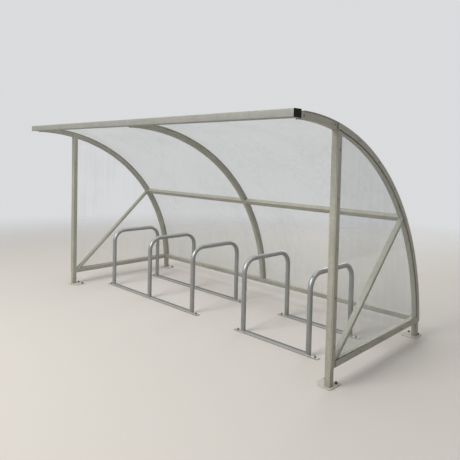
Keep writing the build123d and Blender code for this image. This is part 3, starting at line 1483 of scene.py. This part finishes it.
@dataclass
class Cladding:
    """Clear sheets, the strips that hold them, and their gaskets and screws.

    Attributes:
        gasket_radius: Radius of the gaskets and of the seals.
        gasket_rise: Share of its radius that a gasket's middle stands out of the panel.
        joint_radius: Radius of the dark line in the joint of two strips.
        joint_rise: How far that line stands out of the strips.
        joint_inset: How far it stops short of the strips' outer edges.
        line_step: Distance between the rings of all these lines.
        screw_pitch: Distance between screws.
        screw_inset: Distance of the posts' screws behind the posts' front face.
        first_curve_screw: Angle of the ribs' first screw, at the front.
        first_post_screw: Height of the posts' first screw.
        nose_inset: Distance of the screw in a rib's side behind its nose.
        brace_screws: Distances of the braces' screws from the braces' feet.
    """

    layout: Layout
    finishes: Finishes
    beads: Maker
    screws: Maker
    gasket_radius: float = 0.0024
    gasket_rise: float = 0.3
    joint_radius: float = 0.0080
    joint_rise: float = 0.0018
    joint_inset: float = 0.006
    line_step: float = 0.03
    screw_pitch: float = 0.371
    screw_inset: float = 0.030
    first_curve_screw: float = math.radians(79.2)
    curve_screws: int = 7
    first_post_screw: float = 0.317
    post_screws: int = 5
    rail_screws: int = 3
    nose_inset: float = 0.022
    brace_screws: tuple[float, float] = (0.535, 1.058)

    def build(self) -> None:
        """Dress the sheets and strips and add what holds them."""
        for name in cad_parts:
            if "sheet" in name or "panel" in name:
                paint(name, self.finishes.clear)
            elif "strip" in name:
                paint(name, self.finishes.strip)
        gaskets = [line for side in Side for line in self.gaskets(side)]
        joints = [line for side in Side for line in self.joints(side)]
        seals = [line for side in Side for line in self.seals(side)]
        self.lay("end_gaskets", gaskets, self.finishes.rubber, self.gasket_radius)
        self.lay("strip_joints", joints, self.finishes.cap, self.joint_radius)
        self.lay("edge_seals", seals + self.middle_seals(), self.finishes.seal, self.gasket_radius)
        seats = [seat for side in Side for seat in self.end_seats(side)]
        self.fix("strip_screws", seats + self.roof_seats(), self.finishes.fastener)
        self.fix("brace_screws", self.brace_seats(), self.finishes.weld)

    def lay(self, name: str, lines: Sequence[Line], finish: bpy.types.Material, radius: float) -> None:
        """Build a piece of plain round beads along lines.

        Args:
            name: Name of the piece.
            lines: Middle line of each bead.
            finish: Its material.
            radius: Radius of the beads.
        """
        guide = lines_mesh(name + "_lines", lines)
        sizes = {"swell": 0.0, "step": self.line_step, "radius": radius}
        adopt(self.beads.run(name, guide, finish, **sizes), Slot.PLASTIC)

    def fix(self, name: str, seats: Sequence[Seat], finish: bpy.types.Material) -> None:
        """Build a piece of screws on their seats."""
        adopt(self.screws.run(name, seats_mesh(name + "_seats", seats), finish), Slot.STEEL)

    def gaskets(self, side: Side) -> list[Line]:
        """Return the rubber lines along the strips of an end.

        Args:
            side: End of the shelter.

        Returns:
            The line along the rib and the one along the rail.
        """
        layout = self.layout
        inner = layout.strip_inner
        face = side.value * (layout.half + layout.sheet + self.gasket_radius * self.gasket_rise)
        foot = layout.angle_at_z(layout.rail_high, inner)
        arc = layout.arc(face, inner, foot, layout.angle_at_y(layout.post_back, inner))
        return [arc, [Vector((face, layout.post_back, layout.rail_high)), arc[0]]]

    def joints(self, side: Side) -> list[Line]:
        """Return the dark lines where the post's strip meets the others of an end.

        Args:
            side: End of the shelter.

        Returns:
            The line at the rib's strip and the one at the rail's.
        """
        layout = self.layout
        inner = layout.strip_inner
        x = side.value * (layout.strip_face + self.joint_rise - self.joint_radius)
        back = layout.angle_at_y(layout.post_back, inner)
        front = layout.angle_at_y(layout.post_front + self.joint_inset, inner)
        heights = (layout.rail_low + self.joint_inset, layout.rail_high)
        return [layout.arc(x, inner, back, front), [Vector((x, layout.post_back, z)) for z in heights]]

    def seals(self, side: Side) -> list[Line]:
        """Return the lines on the bare edges of an end's sheets.

        Args:
            side: End of the shelter.

        Returns:
            The line up the end panel's front and the one along the roof before the post.
        """
        layout = self.layout
        gap = side.value * (layout.half + layout.sheet / 2)
        front = layout.post_front + self.gasket_radius
        top = layout.on_curve(gap, layout.strip_inner, layout.angle_at_y(front, layout.strip_inner)).z
        edge = side.value * (layout.half - self.gasket_radius)
        radius = layout.rib_outer + layout.sheet / 2
        return [
            [Vector((gap, front, z)) for z in (layout.rail_low, top)],
            layout.arc(edge, radius, layout.angle_at_y(front, radius), math.pi / 2),
        ]

    def middle_seals(self) -> list[Line]:
        """Return the lines along both edges of the middle strip of the roof.

        Returns:
            The two lines.
        """
        layout = self.layout
        low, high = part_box("middle_roof_strip")
        start = layout.angle_at_z(low.z, layout.rib_outer)
        radius = layout.rib_outer + self.gasket_radius
        return [layout.arc(x, radius, start, math.pi / 2) for x in (low.x, high.x)]

    def curve_angles(self) -> list[float]:
        """Return the angles of the screws round the curve, from the front."""
        turn = self.screw_pitch / self.layout.strip_middle
        return [self.first_curve_screw - turn * number for number in range(self.curve_screws)]

    def end_seats(self, side: Side) -> list[Seat]:
        """Return the seats of the screws of an end.

        Args:
            side: End of the shelter.

        Returns:
            Seats along the rib, up the post and along the rail, and the one at the nose.
        """
        layout, pitch = self.layout, self.screw_pitch
        x = side.value * layout.strip_face
        post_y = layout.post_front + self.screw_inset
        nose_y = layout.nose + self.nose_inset
        heights = [self.first_post_screw + pitch * number for number in range(self.post_screws)]
        runs = [layout.post_back + pitch * (number + 1) for number in range(self.rail_screws)]
        places = [layout.on_curve(x, layout.strip_middle, angle) for angle in self.curve_angles()]
        places.extend(Vector((x, post_y, height)) for height in heights)
        places.extend(Vector((x, run, layout.rail_middle)) for run in runs)
        places.append(Vector((side.value * layout.half, nose_y, layout.rib_z + layout.rib_middle)))
        return [(place, side.outward) for place in places]

    def roof_seats(self) -> list[Seat]:
        """Return the seats of the screws along the three strips of the roof.

        Returns:
            The seats, strip by strip.
        """
        layout = self.layout
        face = layout.rib_outer + layout.sheet * 2
        seats = []
        for place in ("left", "middle", "right"):
            low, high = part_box(f"{place}_roof_strip")
            x = (low.x + high.x) / 2
            for angle in self.curve_angles():
                seats.append((layout.on_curve(x, face, angle), layout.radial(angle)))
        return seats

    def brace_seats(self) -> list[Seat]:
        """Return the seats of the screws that hold the end panels to the braces.

        Returns:
            The seats, end by end.
        """
        seats = []
        for side in Side:
            low, high = self.layout.brace_line(side.value * (self.layout.half + self.layout.sheet))
            run = (high - low).normalized()
            seats.extend((low + run * along, side.outward) for along in self.brace_screws)
        return seats


@dataclass
class Racks:
    """Parking hoops of bent round tube and the rails that they are welded to.

    Attributes:
        bend: Radius of the hoops' bends.
        seam_points: Points round the seam at a leg's foot.
        seam_lift: Height of that seam above the rail.
        bolt_inset: Distance of the bolts from the rails' ends.
        vent_hoop: The hoop with a vent hole in its front bend, drawn as a dark disc of painted shade.
        vent_turn: Angle of the disc from the hoop's plane, towards the right.
        vent_sink: How far the disc is let into the tube.
    """

    finishes: Finishes
    tubes: Maker
    beads: Maker
    bolts: Maker
    shade_discs: Maker
    hoop_count: int = 5
    bend: float = 0.140
    weld_radius: float = 0.0032
    seam_points: int = 28
    seam_lift: float = 0.001
    bolt_inset: float = 0.040
    bolt_washer: float = 0.012
    bolt_nut: float = 0.0105
    bolt_height: float = 0.017
    vent_hoop: str = "hoop_5"
    vent_turn: float = math.radians(12)
    vent_flange: float = 0.0066
    vent_head: float = 0.0012
    vent_rise: float = 0.0003
    vent_sink: float = 0.0008

    def build(self) -> None:
        """Build the hoops, their welds, the bolts and the vent hole's painted shade, and dress the rails.
        """
        rings = [ring for number in range(self.hoop_count) for ring in self.hoop(f"hoop_{number + 1}")]
        guide = lines_mesh("hoop_seams", rings, closed=True)
        piece = self.beads.run("hoop_weld_beads", guide, self.finishes.weld, radius=self.weld_radius)
        adopt(piece, Slot.ZINC)
        rails = [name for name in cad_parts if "rack" in name]
        for name in rails:
            paint(name, self.finishes.rail)
        guide = seats_mesh("bolt_seats", [seat for name in rails for seat in self.bolt_seats(name)])
        sizes = {"washer": self.bolt_washer, "nut": self.bolt_nut, "height": self.bolt_height}
        adopt(self.bolts.run("rack_bolts", guide, self.finishes.fastener, **sizes), Slot.ZINC)
        self.vent()

    def bolt_seats(self, rail: str) -> list[Seat]:
        """Return the seats of the bolts near a rail's ends, at the height where the hoops stand on it.

        Args:
            rail: The rail's node.

        Returns:
            The two seats.
        """
        low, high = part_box(rail)
        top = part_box("hoop_1")[0].z
        ends = (low.x + self.bolt_inset, high.x - self.bolt_inset)
        return [(Vector((x, (low.y + high.y) / 2, top)), UPWARD) for x in ends]

    def vent(self) -> None:
        """Build the small dark disc that stands as painted shade in the vent hole of a hoop's front bend.
        """
        low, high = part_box(self.vent_hoop)
        radius = (high.x - low.x) / 2
        inset = radius + self.bend
        centre = Vector(((low.x + high.x) / 2, low.y + inset, high.z - inset))
        round_bend = (UPWARD - BACKWARD).normalized()
        outward = round_bend * math.cos(self.vent_turn) + ALONG * math.sin(self.vent_turn)
        seat = centre + round_bend * self.bend + outward * (radius - self.vent_sink)
        guide = seats_mesh("vent_seats", [(seat, outward)])
        sizes = {"flange": self.vent_flange, "head": self.vent_head, "rise": self.vent_rise}
        # A dark cap plastic disc as painted shade in the vent hole.
        adopt(self.shade_discs.run("hoop_vent_hole_shade", guide, self.finishes.cap, **sizes), Slot.ZINC)

    def hoop(self, node: str) -> list[Line]:
        """Build one hoop in place of its node.

        Args:
            node: Node of the frame.

        Returns:
            The rings where its legs meet the rails.
        """
        low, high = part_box(node)
        radius = (high.x - low.x) / 2
        x = (low.x + high.x) / 2
        front, back, top = low.y + radius, high.y - radius, high.z - radius
        corners = [(front, low.z), (front, top), (back, top), (back, low.z)]
        guide = lines_mesh(node + "_line", [[Vector((x, y, z)) for y, z in corners]])
        piece = self.tubes.run(node + "_tube", guide, self.finishes.zinc, radius=radius, bend=self.bend)
        adopt(piece, Slot.ZINC, node)
        return [self.seam(Vector((x, y, low.z + self.seam_lift)), radius) for y in (front, back)]

    def seam(self, middle: Vector, radius: float) -> Line:
        """Return the ring round a leg's foot, from its middle and the leg's radius."""
        turns = [math.tau * step / self.seam_points for step in range(self.seam_points)]
        return [middle + Vector((math.cos(turn), math.sin(turn), 0)) * radius for turn in turns]


@dataclass
class Feet:
    """Base plates and the anchors that hold them to the floor.

    Attributes:
        edge: Distance of the anchors from the plates' edges.
    """

    finishes: Finishes
    anchors: Maker
    edge: float = 0.028
    nut: float = 0.0100
    height: float = 0.016

    def build(self) -> None:
        """Dress the plates and set two anchors on each."""
        seats = []
        for name in (f"{side.word}_{place}_plate" for side in Side for place in ("front", "back")):
            paint(name, self.finishes.plate)
            low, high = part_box(name)
            for x in (low.x + self.edge, high.x - self.edge):
                seats.append((Vector((x, high.y - self.edge, high.z)), UPWARD))
        guide = seats_mesh("anchor_seats", seats)
        sizes = {"nut": self.nut, "height": self.height}
        adopt(self.anchors.run("floor_anchors", guide, self.finishes.anchor, **sizes), Slot.STEEL)


@dataclass(frozen=True)
class Viewpoint:
    """Camera at the photograph's viewing angle.

    Attributes:
        place: The camera's place.
        turn: Its angle to the left of the shelter's depth.
        dip: Its angle below level.
        roll: Its turn about its own axis.
        focal_pixels: Focal length in the photograph's pixels.
        middle_pixels: Where the camera's axis meets the photograph.
        picture_pixels: Width and height of the photograph.
    """

    place: tuple[float, float, float] = (3.9879, -3.5313, 1.7093)
    turn: float = 0.7379
    dip: float = 0.0373
    roll: float = 0.0253
    focal_pixels: float = 475.33
    middle_pixels: tuple[float, float] = (258.47, 177.70)
    picture_pixels: float = 460.0
    sensor_mm: float = 36.0

    def build(self) -> None:
        """Build the camera and make it the scene's."""
        data = bpy.data.cameras.new("viewpoint")
        data.sensor_width = self.sensor_mm
        data.lens = self.focal_pixels * self.sensor_mm / self.picture_pixels
        half = self.picture_pixels / 2
        data.shift_x = (half - self.middle_pixels[0]) / self.picture_pixels
        data.shift_y = (self.middle_pixels[1] - half) / self.picture_pixels
        camera = bpy.data.objects.new("viewpoint", data)
        level = math.pi / 2 - self.dip
        turned = Matrix.Rotation(self.turn, 4, "Z") @ Matrix.Rotation(level, 4, "X")
        turned = turned @ Matrix.Rotation(self.roll, 4, "Z")
        camera.matrix_world = Matrix.Translation(self.place) @ turned
        bpy.context.scene.collection.objects.link(camera)
        bpy.context.scene.camera = camera


@dataclass(frozen=True)
class Lamp:
    """Soft square lamp aimed at a point."""

    name: str
    place: tuple[float, float, float]
    target: tuple[float, float, float]
    width: float
    watts: float
    colour: Colour = (1.0, 1.0, 1.0)

    def build(self) -> None:
        """Build the lamp."""
        data = bpy.data.lights.new(self.name, "AREA")
        data.size = self.width
        data.energy = self.watts
        data.color = self.colour
        lamp = bpy.data.objects.new(self.name, data)
        lamp.location = self.place
        aim = Vector(self.target) - Vector(self.place)
        lamp.rotation_euler = aim.to_track_quat("-Z", "Y").to_euler()
        bpy.context.scene.collection.objects.link(lamp)


@dataclass(frozen=True)
class Studio:
    """Plain pale floor, soft light and the camera.

    Attributes:
        ambient: Strength of the air as light, where 1 is how strongly it shows.
        floor_radius: Where the floor ends.
        fade_start: Where it starts to fade into the air.
    """

    lamps: tuple[Lamp, ...] = (
        Lamp("key", (-0.4, -7.5, 6.8), (0, 0, 0.9), width=4.8, watts=690.0, colour=(1.0, 0.99, 0.97)),
        Lamp("overhead", (-0.5, 0.5, 7.5), (0, 0, 0), width=10.0, watts=330.0),
        Lamp("rear_fill", (-2.0, 7.5, 4.0), (0, 0, 1.0), width=4.0, watts=140.0),
    )
    floor_colour: Colour = (0.56, 0.53, 0.49)
    floor_roughness: float = 0.9
    floor_radius: float = 10.0
    floor_sides: int = 96
    fade_start: float = 3.4
    air_colour: Colour = (0.70, 0.71, 0.72)
    ambient: float = 0.46

    def build(self) -> None:
        """Build the camera, the lamps, the air and the floor."""
        Viewpoint().build()
        for lamp in self.lamps:
            lamp.build()
        self.air()
        self.floor()
        bpy.context.scene.view_settings.view_transform = "Standard"

    def air(self) -> None:
        """Build the pale surroundings, which light the object less than they show."""
        world = bpy.data.worlds.new("air")
        bpy.context.scene.world = world
        world.use_nodes = True
        graph = Graph(world.node_tree)
        graph.tree.nodes.clear()
        rays = graph.node("ShaderNodeLightPath")
        seen = Field(graph, rays.outputs["Is Camera Ray"])
        for name in ("Is Glossy Ray", "Is Transmission Ray"):
            seen = seen.largest(Field(graph, rays.outputs[name]))
        strength = self.ambient + seen * (1.0 - self.ambient)
        values = {"Color": rgba(self.air_colour), "Strength": strength}
        light = graph.read("ShaderNodeBackground", 0, values)
        graph.node("ShaderNodeOutputWorld", {0: light})

    def floor(self) -> None:
        """Build the floor, which fades into the air far from the object."""
        surface = Surface("plain_floor")
        flat = surface.stretched((1, 1, 0))
        reach = surface.read("ShaderNodeVectorMath", "Value", {0: flat}, operation="LENGTH")
        fade = surface.span(reach, self.fade_start, self.floor_radius)
        values = {"Base Color": rgba(self.floor_colour), "Roughness": self.floor_roughness}
        ground = surface.read("ShaderNodeBsdfPrincipled", 0, values)
        clear = surface.read("ShaderNodeBsdfTransparent", 0)
        shader = surface.read("ShaderNodeMixShader", 0, {0: fade, 1: ground, 2: clear})
        surface.node("ShaderNodeOutputMaterial", {0: shader})
        shape = bmesh.new()
        bmesh.ops.create_circle(
            shape, cap_ends=True, segments=self.floor_sides, radius=self.floor_radius
        )
        mesh = bpy.data.meshes.new("floor")
        shape.to_mesh(mesh)
        shape.free()
        mesh.materials.append(surface.material)
        link("floor", mesh)


def main() -> None:
    """Build the scene's parts in order."""
    logging.basicConfig(level=logging.INFO, format="%(name)s %(message)s")
    Studio().build()
    layout = Layout.read()
    finishes = Finishes.make()
    tubes, beads = BentTube().make(), Bead().make()
    screws, anchors = FlangedScrew().make(), FloorAnchor().make()
    SteelFrame(layout, finishes, beads).build()
    Cladding(layout, finishes, beads, screws).build()
    Racks(finishes, tubes, beads, anchors, screws).build()
    Feet(finishes, anchors).build()


if __name__ == "__main__":
    main()
